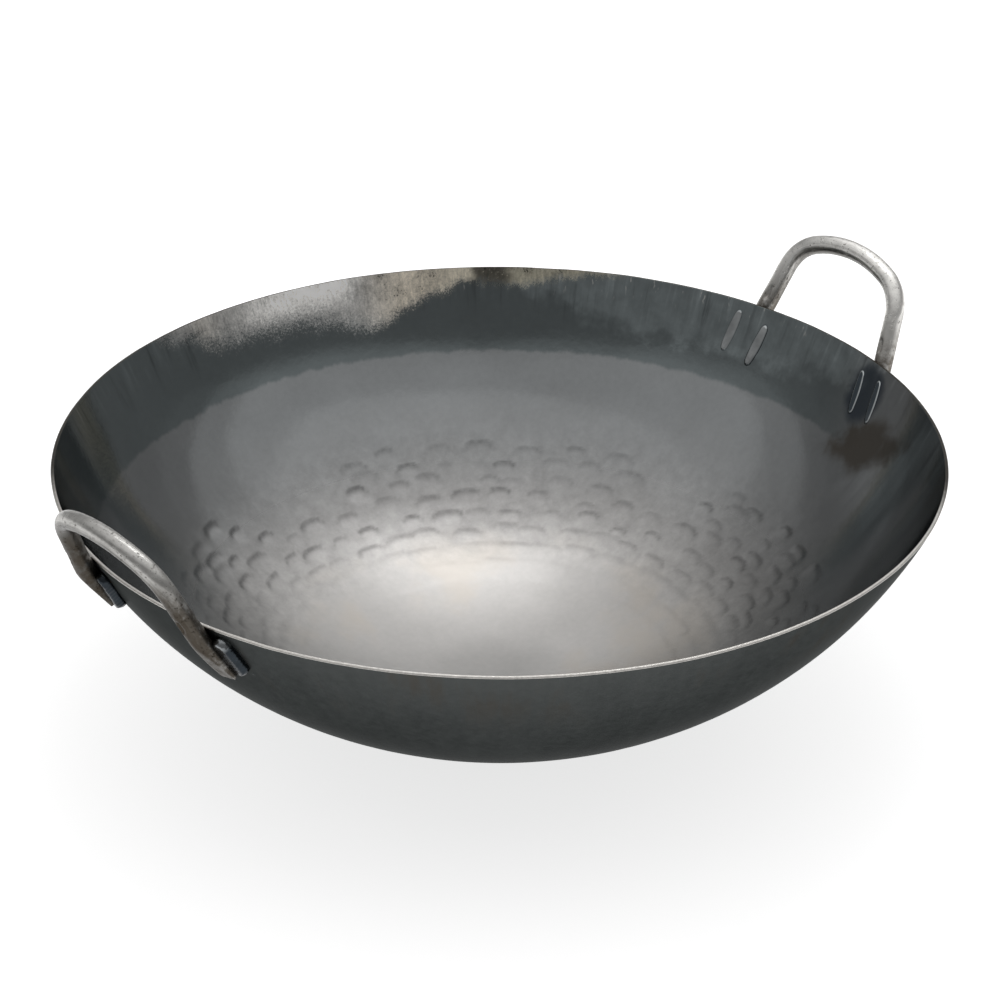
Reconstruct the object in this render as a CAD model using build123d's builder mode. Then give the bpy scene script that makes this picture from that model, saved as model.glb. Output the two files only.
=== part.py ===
"""Hammered carbon steel wok with two welded rod handles.

The origin is the middle of the face that it stands on, +Z is up and the handles lie on the X axis.
Lengths are in millimetres and angles in degrees.
"""

import os
from math import acos, asin, cos, degrees, radians, sin, sqrt, tan

from build123d import *

# Bowl: a crown arc about the bowl's axis runs tangent into the tighter arc of the wall
rim_diameter = 390.0
sheet = 1.6
land_diameter = 54.0
wall_radius = 202.8
crown_angle = 28.7
rim_angle = 64.4
rim_break = 0.3

# Handles: one rod each, its legs laid on the wall and then bent up into a flat loop
rod_diameter = 8.5
wall_clearance = 0.05
bend_drop = 4.0
leg_end_drop = 27.5
leg_spacing = 82.0
leg_splay = 12.0
bend_radius = 40.0
loop_tilt = 63.7
loop_taper = 10.3
loop_height = 45.5
corner_radius = 20.1
arch_radius = 60.6
flattened_share = 0.45
leg_break = 0.8

# Weld beads: one along each flank of a leg, drawn in at both ends
weld_drop = 4.6
weld_length = 22.0
bead_radius = 4.2
bead_taper = 2.1
bead_offset = 7.1
bead_rise = 0.8

# Marks that the welds press up on the inner wall
mark_length = 20.5
mark_width = 3.2
mark_height = 0.45

# Sizes worked out from those above
rim_radius = rim_diameter / 2
land_radius = land_diameter / 2
rod_radius = rod_diameter / 2
leg_length = leg_end_drop - bend_drop
leg_middle_drop = (leg_end_drop + bend_drop) / 2
weld_middle = weld_drop + weld_length / 2 - leg_middle_drop


def sin_deg(angle):
    return sin(radians(angle))


def cos_deg(angle):
    return cos(radians(angle))


wall_centre_r = rim_radius - wall_radius * sin_deg(rim_angle)
crown_radius = wall_radius + wall_centre_r / sin_deg(crown_angle)
land_angle = degrees(asin(land_radius / crown_radius))
crown_centre_z = crown_radius * cos_deg(land_angle)
wall_centre_z = crown_centre_z - (crown_radius - wall_radius) * cos_deg(crown_angle)
inner_land_angle = degrees(acos((crown_centre_z - sheet) / (crown_radius - sheet)))
rim_z = wall_centre_z - wall_radius * cos_deg(rim_angle)


def shell_point(angle, outwards):
    """Point (r, z) of the bowl's section at a slope angle, a distance outwards of the outer surface."""
    if angle > crown_angle:
        radius = wall_radius + outwards
        return wall_centre_r + radius * sin_deg(angle), wall_centre_z - radius * cos_deg(angle)
    radius = crown_radius + outwards
    return radius * sin_deg(angle), crown_centre_z - radius * cos_deg(angle)


def drop_angle(drop):
    """Slope of the wall at a distance below the rim, measured down the outer wall."""
    return rim_angle - degrees(drop / wall_radius)


def shell_arcs(land, outwards):
    """Draws the crown and wall arcs of one surface of the sheet, up from the edge of its land."""
    edge = shell_point(land, outwards)
    joint = shell_point(crown_angle, outwards)
    lip = shell_point(rim_angle, outwards)
    ThreePointArc(edge, shell_point((land + crown_angle) / 2, outwards), joint)
    ThreePointArc(joint, shell_point((crown_angle + rim_angle) / 2, outwards), lip)
    return edge, lip


# Space that the bowl's outer surface bounds, which the weld beads are cut to
with BuildPart() as envelope:
    with BuildSketch(Plane.XZ):
        with BuildLine():
            edge, lip = shell_arcs(land_angle, 0)
            Polyline(lip, (0, rim_z), (0, 0), edge)
        make_face()
    revolve(axis=Axis.Z)

# Legs: a frame half way down a leg, with X down the leg and Z off the wall
leg_angle = drop_angle(leg_middle_drop)
leg_r, leg_z = shell_point(leg_angle, rod_radius + wall_clearance)
leg_turn = degrees(asin(leg_spacing / 2 / leg_r))
leg_middle = Vector(leg_r, 0, leg_z).rotate(Axis.Z, leg_turn)
off_wall = Vector(sin_deg(leg_angle), 0, -cos_deg(leg_angle)).rotate(Axis.Z, leg_turn)
down_wall = Vector(-cos_deg(leg_angle), 0, -sin_deg(leg_angle)).rotate(Axis.Z, leg_turn)
down_leg = down_wall.rotate(Axis((0, 0, 0), off_wall), leg_splay)
leg_frame = Plane(origin=leg_middle, x_dir=down_leg, z_dir=off_wall)
leg_side = Plane(origin=leg_middle, x_dir=down_leg, z_dir=leg_frame.y_dir * -1)
leg_end = leg_middle + down_leg * leg_length / 2
bend = leg_middle - down_leg * leg_length / 2

# Loop: its plane holds both bends, and half its outline is a leg, a corner and half of the arch
up_loop = Vector(cos_deg(loop_tilt), 0, sin_deg(loop_tilt))
across_loop = Vector(0, 1, 0)
loop_frame = Plane(origin=(bend.X, 0, bend.Z), x_dir=across_loop, z_dir=across_loop.cross(up_loop))
leg_run = Vector(-sin_deg(loop_taper), cos_deg(loop_taper))
leg_outwards = Vector(cos_deg(loop_taper), sin_deg(loop_taper))
arch_centre = Vector(0, loop_height - arch_radius)
corner_start = Vector(bend.Y, 0) - leg_outwards * corner_radius
from_arch = corner_start - arch_centre
corner_offset = from_arch.dot(leg_outwards)
corner_reach = sqrt((arch_radius - corner_radius) ** 2 - corner_offset**2) - from_arch.dot(leg_run)
corner_centre = corner_start + leg_run * corner_reach
to_shoulder = (corner_centre - arch_centre).normalized()
leg_top = loop_frame.from_local_coords(corner_centre + leg_outwards * corner_radius)
shoulder = loop_frame.from_local_coords(corner_centre + to_shoulder * corner_radius)
apex = loop_frame.from_local_coords(Vector(0, loop_height))
up_leg = (leg_top - bend).normalized()
bend_cut = bend_radius * tan(radians(up_leg.get_angle(down_leg * -1)) / 2)

with BuildLine() as half_rod:
    foot = Line(leg_end, bend + down_leg * bend_cut)
    bow = TangentArc(foot @ 1, bend + up_leg * bend_cut, tangent=foot % 1)
    leg = Line(bow @ 1, leg_top)
    corner = TangentArc(leg @ 1, shoulder, tangent=leg % 1)
    TangentArc(corner @ 1, apex, tangent=corner % 1)

with BuildPart() as handle_right:
    with BuildSketch(Plane(origin=leg_end, z_dir=down_leg * -1)):
        Circle(rod_radius)
    sweep(path=half_rod.line)
    # The hammered flat on the outside of the leg gets deeper towards its end
    with BuildSketch(leg_side):
        with BuildLine():
            flat_top = (-leg_length / 2, rod_radius)
            flat_end = (leg_length / 2, rod_radius - rod_diameter * flattened_share)
            Polyline(flat_top, flat_end, (leg_length / 2, rod_diameter), flat_top)
        make_face()
    extrude(amount=rod_diameter, both=True, mode=Mode.SUBTRACT)
    chamfer(handle_right.faces().sort_by(Axis(leg_middle, down_leg))[-1].edges(), leg_break)
    mirror(about=Plane.XZ)
handle_right.part.label = "handle_right"

with BuildPart() as handle_left:
    mirror(handle_right.part, about=Plane.YZ)
handle_left.part.label = "handle_left"

# Marks on the inner wall: long flat ridges of one height, one behind each bead
with BuildPart() as marks:
    with BuildSketch(leg_frame.offset(-rod_radius - wall_clearance - sheet)):
        with Locations((weld_middle, bead_offset), (weld_middle, -bead_offset)):
            SlotOverall(mark_length, mark_width)
    extrude(amount=sheet, both=True)
    with BuildSketch(Plane.XZ) as mark_skin:
        with BuildLine():
            low = drop_angle(leg_end_drop + mark_length)
            middle = (low + rim_angle) / 2
            back = -sheet / 2
            front = -sheet - mark_height
            ThreePointArc(*[shell_point(angle, back) for angle in (low, middle, rim_angle)])
            ThreePointArc(*[shell_point(angle, front) for angle in (low, middle, rim_angle)])
            Line(shell_point(low, back), shell_point(low, front))
            Line(shell_point(rim_angle, back), shell_point(rim_angle, front))
        make_face()
    revolve(axis=Axis.Z, mode=Mode.INTERSECT)
    mirror(about=Plane.XZ)
    mirror(about=Plane.YZ)

with BuildPart() as bowl:
    with BuildSketch(Plane.XZ):
        with BuildLine():
            outer_edge, outer_lip = shell_arcs(land_angle, 0)
            inner_edge, inner_lip = shell_arcs(inner_land_angle, -sheet)
            Line(outer_lip, inner_lip)
            Polyline(outer_edge, (0, 0), (0, sheet), inner_edge)
        make_face()
    revolve(axis=Axis.Z)
    rim_edges = bowl.edges().filter_by(lambda edge: edge.is_closed).sort_by(Axis.Z)[-2:]
    chamfer(rim_edges, rim_break)
    add(marks.part)
bowl.part.label = "bowl"

# Weld beads: made on the right handle's back leg, then mirrored to the other three legs
def weld_bead(flank):
    """A bead on the flank of the leg that faces away from the loop's middle (1) or towards it (-1)."""
    in_leg_frame = Vector(weld_middle, flank * bead_offset, bead_rise - rod_radius - wall_clearance)
    bead_middle = leg_frame.from_local_coords(in_leg_frame)
    with BuildPart() as bead:
        with BuildSketch(Plane(origin=bead_middle, z_dir=down_leg)):
            Circle(bead_radius)
        extrude(amount=weld_length / 2, both=True)
        chamfer(bead.edges().filter_by(GeomType.CIRCLE), bead_taper)
        add(envelope.part, mode=Mode.SUBTRACT)
        add(handle_right.part, mode=Mode.SUBTRACT)
    return bead.part


welds = []
for flank_name, flank in (("inner", -1), ("outer", 1)):
    right_back = weld_bead(flank)
    for leg_name in ("back", "front"):
        for side_name in ("right", "left"):
            with BuildPart() as weld:
                add(right_back)
                if leg_name == "front":
                    mirror(about=Plane.XZ, mode=Mode.REPLACE)
                if side_name == "left":
                    mirror(about=Plane.YZ, mode=Mode.REPLACE)
            weld.part.label = f"weld_{side_name}_{leg_name}_{flank_name}"
            welds.append(weld.part)

os.makedirs("parts", exist_ok=True)
export_step(bowl.part, "parts/bowl.step")
export_step(handle_right.part, "parts/handle_right.step")
export_step(handle_left.part, "parts/handle_left.step")
for weld_part in welds:
    export_step(weld_part, f"parts/{weld_part.label}.step")
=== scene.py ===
"""Hammered carbon steel wok with two welded rod handles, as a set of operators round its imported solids.

Lengths are in metres and angles in radians.
The origin is the middle of the face that the wok stands on, +Z is up and the handles lie on the X axis.
"""

from math import asin, atan2, cos, pi, radians, sin, sqrt, tan, tau

import bpy
from bpy.props import FloatProperty, FloatVectorProperty, IntProperty, PointerProperty
from mathutils import Matrix, Vector


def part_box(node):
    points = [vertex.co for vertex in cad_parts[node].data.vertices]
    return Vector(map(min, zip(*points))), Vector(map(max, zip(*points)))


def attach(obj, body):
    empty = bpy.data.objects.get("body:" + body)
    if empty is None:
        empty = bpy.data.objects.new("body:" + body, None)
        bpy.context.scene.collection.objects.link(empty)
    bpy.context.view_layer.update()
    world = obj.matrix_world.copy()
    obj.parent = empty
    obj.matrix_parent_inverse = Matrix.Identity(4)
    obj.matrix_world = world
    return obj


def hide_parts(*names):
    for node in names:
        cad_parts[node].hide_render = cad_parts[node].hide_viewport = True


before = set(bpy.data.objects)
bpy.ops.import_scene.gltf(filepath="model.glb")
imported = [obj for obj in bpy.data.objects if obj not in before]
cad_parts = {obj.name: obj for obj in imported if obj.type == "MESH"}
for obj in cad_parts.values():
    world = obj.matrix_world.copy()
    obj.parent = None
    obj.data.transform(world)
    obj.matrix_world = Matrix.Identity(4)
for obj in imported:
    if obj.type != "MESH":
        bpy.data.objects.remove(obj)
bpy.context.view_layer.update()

bl_info = {
    "name": "Hammered wok",
    "version": (1, 0, 0),
    "blender": (4, 5, 0),
    "location": "3D View > Sidebar > Wok",
    "description": "Makes a hammered carbon steel wok with welded rod handles",
    "category": "Add Mesh",
}

bowl_low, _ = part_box("bowl")
mm = 0.001
degree = pi / 180


# Nodes that take part in sums
class Number:
    """A socket that gives a number, on which the usual signs of arithmetic add Math nodes."""

    def __init__(self, maker, socket):
        self.maker = maker
        self.socket = socket

    def __add__(self, other):
        return self.maker.math("ADD", self, other)

    def __sub__(self, other):
        return self.maker.math("SUBTRACT", self, other)

    def __rsub__(self, other):
        return self.maker.math("SUBTRACT", other, self)

    def __mul__(self, other):
        return self.maker.math("MULTIPLY", self, other)

    def __truediv__(self, other):
        return self.maker.math("DIVIDE", self, other)

    __radd__ = __add__
    __rmul__ = __mul__


class Maker:
    """Adds nodes to one tree and joins them."""

    def __init__(self, tree):
        self.tree = tree

    def node(self, kind, inputs=(), **settings):
        made = self.tree.nodes.new(kind)
        for name, value in settings.items():
            setattr(made, name, value)
        for name, value in dict(inputs).items():
            self.put(self.open_socket(made.inputs, name), value)
        return made

    def open_socket(self, sockets, name):
        return next(s for s in sockets if s.enabled and (s.name == name or s.identifier == name))

    def put(self, socket, value):
        if isinstance(value, Number):
            value = value.socket
        if isinstance(value, bpy.types.NodeSocket):
            self.tree.links.new(value, socket)
        else:
            socket.default_value = value

    def number(self, made, name):
        return Number(self, self.open_socket(made.outputs, name))

    def math(self, operation, *values):
        made = self.tree.nodes.new("ShaderNodeMath")
        made.operation = operation
        for socket, value in zip(made.inputs, values):
            self.put(socket, value)
        return Number(self, made.outputs[0])

    def least(self, a, b):
        return self.math("MINIMUM", a, b)

    def most(self, a, b):
        return self.math("MAXIMUM", a, b)

    def root(self, a):
        return self.math("SQRT", a)

    def smooth(self, value, low, high):
        """Rises from 0 to 1 between low and high."""
        made = self.node("ShaderNodeMapRange", {"Value": value, "From Min": low, "From Max": high},
                         interpolation_type="SMOOTHSTEP")
        return Number(self, made.outputs[0])

    def window(self, value, low, high, soft):
        """1 between low and high, and 0 beyond them."""
        return self.smooth(value, low - soft, low + soft) * (1 - self.smooth(value, high - soft, high + soft))

    def split(self, vector):
        made = self.node("ShaderNodeSeparateXYZ", {"Vector": vector})
        return [Number(self, socket) for socket in made.outputs]

    def joined(self, x, y, z):
        return self.node("ShaderNodeCombineXYZ", {"X": x, "Y": y, "Z": z}).outputs[0]

    def vector_math(self, operation, *values, scale=None):
        made = self.tree.nodes.new("ShaderNodeVectorMath")
        made.operation = operation
        for socket, value in zip(made.inputs, values):
            self.put(socket, value)
        if scale is not None:
            self.put(made.inputs["Scale"], scale)
        return made.outputs["Value"] if operation == "DOT_PRODUCT" else made.outputs["Vector"]

    def dot(self, a, b):
        return Number(self, self.vector_math("DOT_PRODUCT", a, b))

    def added(self, a, b):
        return self.vector_math("ADD", a, b)

    def scaled(self, vector, factor):
        return self.vector_math("SCALE", vector, scale=factor)

    def distance(self, x, y):
        """Length of the line that goes x one way and y across it."""
        return self.root(x * x + y * y)

    def noise(self, vector, scale, detail=3.0, roughness=0.5):
        """Noise about zero, from about -0.5 to 0.5."""
        made = self.node("ShaderNodeTexNoise", {"Vector": vector, "Scale": scale, "Detail": detail,
                                                "Roughness": roughness})
        return Number(self, made.outputs[0]) - 0.5

    def curve(self, value, points):
        """A number read from a smooth curve through points, both from 0 to 1."""
        made = self.node("ShaderNodeFloatCurve", {"Value": value})
        line = made.mapping.curves[0]
        line.points[0].location = points[0]
        line.points[-1].location = points[-1]
        for place in points[1:-1]:
            line.points.new(*place)
        made.mapping.update()
        return Number(self, made.outputs[0])

    def ramp(self, value, stops):
        made = self.node("ShaderNodeValToRGB", {"Fac": value})
        elements = made.color_ramp.elements
        for element, (place, colour) in zip(elements, (stops[0], stops[-1])):
            element.position = place
            element.color = (*colour, 1)
        for place, colour in stops[1:-1]:
            elements.new(place).color = (*colour, 1)
        return made.outputs[0]

    def mixed(self, share, a, b):
        """Goes from colour a to colour b as the share rises from 0 to 1."""
        made = self.node("ShaderNodeMix", {"Factor": share, "A": coloured(a), "B": coloured(b)}, data_type="RGBA")
        return self.open_socket(made.outputs, "Result")

    def plain(self, colour):
        made = self.node("ShaderNodeRGB")
        made.outputs[0].default_value = (*colour, 1)
        return made.outputs[0]

    def painted(self, label):
        """In a material: a number that the mesh holds under a name."""
        return self.number(self.node("ShaderNodeAttribute", attribute_name=label), "Fac")

    def named(self, label, kind="FLOAT"):
        """In a Geometry Nodes tree: a number or vector that the mesh holds under a name."""
        made = self.node("GeometryNodeInputNamedAttribute", {"Name": label}, data_type=kind)
        found = self.open_socket(made.outputs, "Attribute")
        return Number(self, found) if kind == "FLOAT" else found

    def stored(self, geometry, label, value, kind="FLOAT"):
        """Keeps a number or vector on the mesh under a name."""
        made = self.node("GeometryNodeStoreNamedAttribute", {"Geometry": geometry, "Name": label}, data_type=kind)
        self.put(self.open_socket(made.inputs, "Value"), value)
        return made.outputs[0]

    def shifted(self, geometry, **inputs):
        """Sets the Position of every point, or moves it by an Offset."""
        return self.node("GeometryNodeSetPosition", {"Geometry": geometry, **inputs}).outputs[0]

    def swept(self, path, radius, corners):
        """A round bar with closed ends along a path of edges."""
        line = self.node("GeometryNodeMeshToCurve", {"Mesh": path}).outputs[0]
        ring = self.node("GeometryNodeCurvePrimitiveCircle", {"Resolution": corners, "Radius": radius},
                         mode="RADIUS").outputs[0]
        return self.node("GeometryNodeCurveToMesh", {"Curve": line, "Profile Curve": ring,
                                                     "Fill Caps": True}).outputs[0]

    def position(self):
        return self.node("GeometryNodeInputPosition").outputs[0]


def coloured(value):
    """A colour for a socket: three numbers get an alpha, a socket stays as it is."""
    if isinstance(value, (bpy.types.NodeSocket, Number)):
        return value
    return (*value, 1)


def new_material(name):
    material = bpy.data.materials.new(name)
    material.use_nodes = True
    material.node_tree.nodes.clear()
    return material, Maker(material.node_tree)


def metal(maker, colour, roughness, bump_height, bump_distance, **constants):
    """Ends a material in a metal shader with a bump."""
    shader = maker.node("ShaderNodeBsdfPrincipled")
    for name, value in {"Metallic": 1.0, **constants}.items():
        shader.inputs[name.replace("_", " ")].default_value = value
    maker.put(shader.inputs["Base Color"], colour)
    maker.put(shader.inputs["Roughness"], roughness)
    bump = maker.node("ShaderNodeBump", {"Strength": 1.0, "Distance": bump_distance, "Height": bump_height})
    maker.put(shader.inputs["Normal"], bump.outputs[0])
    output = maker.node("ShaderNodeOutputMaterial")
    maker.put(output.inputs["Surface"], shader.outputs[0])
    return shader


# Sizes and colours
def length(name, description, default):
    return FloatProperty(name=name, description=description, default=default, unit="LENGTH", precision=5)


def angle(name, description, degrees_default):
    return FloatProperty(name=name, description=description, default=radians(degrees_default), subtype="ANGLE")


def share(name, description, default):
    return FloatProperty(name=name, description=description, default=default, min=0.0, subtype="FACTOR")


def colour(name, description, default):
    return FloatVectorProperty(name=name, description=description, default=default, size=3, subtype="COLOR",
                               min=0.0, max=1.0)


class WokBowlSizes(bpy.types.PropertyGroup):
    """The bowl's section, and the marks of the hammer in it."""

    rim_diameter: length("Rim diameter", "Across the outer edge of the rim", 0.390)
    sheet: length("Sheet", "Thickness of the steel", 0.0016)
    land_diameter: length("Land diameter", "Across the flat that the wok stands on", 0.054)
    wall_radius: length("Wall radius", "Radius of the arc that the wall follows", 0.2028)
    crown_angle: angle("Crown angle", "Slope where the crown runs into the wall", 28.7)
    rim_angle: angle("Rim angle", "Slope of the wall at the rim", 64.4)
    rim_break: length("Rim break", "Width of the broken edges of the rim", 0.0003)
    divisions: IntProperty(name="Divisions", description="Steps round the bowl", default=484, min=12)
    first_row: length("First row", "Radius of the innermost row of hammer marks", 0.0726)
    row_pitch: length("Row pitch", "Distance between rows of marks", 0.0093)
    row_closing: length("Row closing", "How much closer the outer rows stand", 0.00040)
    even_rows: IntProperty(name="Even rows", description="Rows before the rows close up", default=3)
    rows: IntProperty(name="Rows", description="Rows of hammer marks", default=9, min=0)
    marks_per_row: IntProperty(name="Marks per row", description="Hammer marks in one row", default=40, min=3)
    mark_width: length("Mark width", "Width of a mark along its row", 0.0136)
    mark_length: length("Mark length", "Length of a mark across its row", 0.0102)
    mark_depth: length("Mark depth", "Depth of a mark", 0.00060)
    field_edge: length("Field edge", "Radius that the hammer marks reach", 0.1415)
    bare_depth: length("Bare depth", "How far the bare places reach into the marks", 0.0200)
    wave_height: length("Wave height", "Height of the slow waves in the sheet", 0.00028)
    seed: IntProperty(name="Seed", description="Seed of everything random on the bowl", default=7)


class WokHandleSizes(bpy.types.PropertyGroup):
    """The bent rods, their welds and the marks that these press through."""

    rod_diameter: length("Rod diameter", "Thickness of the handle's rod", 0.0085)
    wall_clearance: length("Wall clearance", "Gap between rod and wall", 0.00005)
    bend_drop: length("Bend drop", "Where the rod leaves the wall, below the rim", 0.0040)
    leg_end_drop: length("Leg end drop", "Where a leg ends, below the rim", 0.0275)
    leg_spacing: length("Leg spacing", "Distance between the legs half way down", 0.082)
    leg_splay: angle("Leg splay", "How far the legs turn from straight down the wall", 12.0)
    bend_radius: length("Bend radius", "Radius of the bend at the rim", 0.040)
    loop_tilt: angle("Loop tilt", "Slope of the loop's plane", 63.7)
    loop_taper: angle("Loop taper", "How far the sides of the loop lean together", 10.3)
    loop_height: length("Loop height", "From the bends to the top of the loop", 0.0455)
    corner_radius: length("Corner radius", "Radius of the loop's corners", 0.0201)
    arch_radius: length("Arch radius", "Radius of the loop's top", 0.0606)
    flattened: share("Flattened", "Share of the rod that is hammered away at a leg's end", 0.45)
    leg_break: length("Leg break", "Width of the broken edge at a leg's end", 0.0008)
    groove_depth: length("Groove depth", "Depth of the pinched groove at a leg's kink", 0.0015)
    weld_drop: length("Weld drop", "Where the weld beads begin, below the rim", 0.0046)
    weld_length: length("Weld length", "Length of a weld bead", 0.022)
    bead_radius: length("Bead radius", "Radius of a weld bead", 0.0042)
    bead_offset: length("Bead offset", "From the leg's line to the bead's", 0.0071)
    bead_rise: length("Bead rise", "Height of a bead's middle over the wall", 0.0008)
    root_depth: length("Root depth", "How deep a bead's root lies in the sheet", 0.0006)
    ripple_pitch: length("Ripple pitch", "Distance between the ripples of a bead", 0.0019)
    ripple_height: length("Ripple height", "Height of the ripples of a bead", 0.00012)
    drop_density: FloatProperty(name="Drop density", description="Drops of weld metal on a square metre",
                                default=16000.0, min=0.0)
    smallest_drop: length("Smallest drop", "Radius of the smallest drops of weld metal", 0.00018)
    largest_drop: length("Largest drop", "Radius of the largest drops of weld metal", 0.00095)
    mark_length: length("Mark length", "Length of a mark inside the wall", 0.0205)
    mark_width: length("Mark width", "Width of a mark inside the wall", 0.0046)
    mark_height: length("Mark height", "Height of a mark inside the wall", 0.00045)
    seed: IntProperty(name="Seed", description="Seed of everything random on the handles", default=3)


class WokColours(bpy.types.PropertyGroup):
    """Colours of the steel."""

    bottom: colour("Bottom", "Bare steel in the middle of the bowl", (0.418, 0.407, 0.396))
    hammered: colour("Hammered", "Bare steel between the hammer marks", (0.306, 0.302, 0.297))
    wall: colour("Wall", "Blued steel of the wall", (0.234, 0.243, 0.247))
    heat: colour("Heat", "Brushed and heated steel at the rim", (0.97, 0.955, 0.925))
    stain: colour("Stain", "Brown stains", (0.072, 0.057, 0.040))
    outside: colour("Outside", "Dark skin of the outside", (0.095, 0.101, 0.100))
    cut_edge: colour("Cut edge", "Cut edge of the rim", (0.60, 0.58, 0.55))
    rod: colour("Rod", "Bright steel of the rods", (0.64, 0.63, 0.605))
    weld: colour("Weld", "Weld metal", (0.030, 0.036, 0.042))
    floor: colour("Floor", "Pale floor", (0.65, 0.65, 0.65))


class WokStage(bpy.types.PropertyGroup):
    """Camera and light."""

    camera_turn: angle("Camera turn", "Where the camera stands round the wok", -40.403)
    camera_height: angle("Camera height", "Angle of the camera over the floor", 27.1694)
    camera_distance: length("Camera distance", "From the middle of the rim to the camera", 2.03912)
    camera_pan: angle("Camera pan", "Turn of the view to the side", -0.00519)
    camera_tilt: angle("Camera tilt", "Turn of the view up or down", -0.54674)
    camera_roll: angle("Camera roll", "Turn of the view about its own line", -0.23159)
    lens: FloatProperty(name="Lens", description="Focal length in millimetres on a 36 mm sensor", default=168.57)
    lamp_height: length("Lamp height", "Height of the lamps over the rim", 1.30)
    lamp_level: share("Lamp level", "Level of all lamps together", 1.0)
    world_level: FloatProperty(name="World level", description="Level of the light from all sides", default=0.30)
    floor_glow: FloatProperty(name="Floor glow", description="Light that the floor itself shows", default=0.74)


# Shapes that the pieces share
class BowlShape:
    """The bowl's section: a crown arc about the axis, which runs into the tighter arc of the wall."""

    def __init__(self, sizes):
        self.rim_radius = sizes.rim_diameter / 2
        self.land_radius = sizes.land_diameter / 2
        self.sheet = sizes.sheet
        self.wall_radius = sizes.wall_radius
        self.crown_angle = sizes.crown_angle
        self.rim_angle = sizes.rim_angle
        self.wall_centre_r = self.rim_radius - self.wall_radius * sin(self.rim_angle)
        self.crown_radius = self.wall_radius + self.wall_centre_r / sin(self.crown_angle)
        self.crown_centre_z = self.crown_radius * cos(asin(self.land_radius / self.crown_radius))
        self.wall_centre_z = self.crown_centre_z - (self.crown_radius - self.wall_radius) * cos(self.crown_angle)
        self.rim_z = self.wall_centre_z - self.wall_radius * cos(self.rim_angle)
        self.crown_arc = self.crown_radius * self.crown_angle
        self.arc = self.crown_arc + self.wall_radius * (self.rim_angle - self.crown_angle)

    def point(self, slope, outwards):
        """Place (r, z) at a slope, a distance outwards of the outer surface."""
        if slope > self.crown_angle:
            radius = self.wall_radius + outwards
            return self.wall_centre_r + radius * sin(slope), self.wall_centre_z - radius * cos(slope)
        radius = self.crown_radius + outwards
        return radius * sin(slope), self.crown_centre_z - radius * cos(slope)

    def slope(self, arc):
        """Slope at a distance along the outer surface from the axis."""
        if arc > self.crown_arc:
            return self.crown_angle + (arc - self.crown_arc) / self.wall_radius
        return arc / self.crown_radius


def smooth_max(a, b, reach):
    near = max(reach - abs(a - b), 0) / reach
    return max(a, b) + near * near * reach / 4


def stations(spans):
    """Distances along a line, in steps that differ from span to span."""
    places = [0.0]
    for end, step in spans:
        start = places[-1]
        count = max(1, round((end - start) / step))
        places += [start + (end - start) * k / count for k in range(1, count + 1)]
    return places


# Reach of the soft edge of the land under and in the bowl, and of the points that hold the rim's edges sharp
land_blend = 0.0008
inner_land_blend = 0.0026
corner_hold = 0.00020
# Spans of the section, each as the distance along it where it ends and the step between its points
outer_spans = ((0.168, 0.0056), (0.2390, 0.0047))
inner_spans = ((0.024, 0.0030), (0.064, 0.0022), (0.160, 0.00100), (0.236, 0.0033), (0.2392, 0.0016))


def bowl_section(shape, rim_break):
    """Points (r, z, outwards r, outwards z, inside) from the axis under the bowl over the rim to the axis in it."""
    section = []

    def add(slope, outwards, inside):
        r, z = shape.point(slope, outwards)
        floor = bowl_low.z if outwards == 0 else bowl_low.z + shape.sheet
        if slope < shape.crown_angle / 2:
            z = smooth_max(z, floor, inner_land_blend if inside == 1.0 else land_blend)
        section.append((r, z, sin(slope), -cos(slope), inside))

    for arc in stations(outer_spans):
        add(shape.slope(arc), 0, 0.0)
    for back in (rim_break + corner_hold, rim_break):
        add(shape.slope(shape.arc - back), 0, 0.0 if back > rim_break else 0.5)
    for outwards in (-rim_break, -shape.sheet / 2, rim_break - shape.sheet):
        add(shape.rim_angle, outwards, 0.5)
    for back in (rim_break, rim_break + corner_hold):
        add(shape.slope(shape.arc - back), -shape.sheet, 1.0 if back > rim_break else 0.5)
    for arc in reversed(stations(inner_spans)):
        add(shape.slope(arc), -shape.sheet, 1.0)
    return section


class LegFrame:
    """A frame half way down a leg, with x down the leg, y round the bowl and z off the wall."""

    def __init__(self, bowl, sizes, side=1, end=1):
        self.rod_radius = sizes.rod_diameter / 2
        self.length = sizes.leg_end_drop - sizes.bend_drop
        self.middle_drop = (sizes.leg_end_drop + sizes.bend_drop) / 2
        slope = bowl.rim_angle - self.middle_drop / bowl.wall_radius
        r, z = bowl.point(slope, self.rod_radius + sizes.wall_clearance)
        turn = Matrix.Rotation(asin(sizes.leg_spacing / 2 / r), 3, "Z")
        self.mirrored = Vector((side, end, 1))
        middle = turn @ Vector((r, 0, z))
        off_wall = turn @ Vector((sin(slope), 0, -cos(slope)))
        down = turn @ Vector((-cos(slope), 0, -sin(slope)))
        down.rotate(Matrix.Rotation(sizes.leg_splay, 3, off_wall))
        self.middle = middle * self.mirrored
        self.off_wall = off_wall * self.mirrored
        self.down = down * self.mirrored
        self.across = off_wall.cross(down) * self.mirrored

    def place(self, x, y, z):
        return self.middle + self.down * x + self.across * y + self.off_wall * z


def arc_points(start, tangent, end, step):
    """Points of the arc that leaves start along tangent and reaches end, without its first one, and its last way."""
    chord = end - start
    along = chord.dot(tangent)
    inwards = (chord - tangent * along).normalized()
    across = chord.dot(inwards)
    radius = chord.length_squared / (2 * across)
    turn = 2 * atan2(across, along)
    count = max(2, round(radius * turn / step))
    angles = [turn * k / count for k in range(1, count + 1)]
    points = [start + tangent * (radius * sin(a)) + inwards * (radius * (1 - cos(a))) for a in angles]
    return points, tangent * cos(turn) + inwards * sin(turn)


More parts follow.
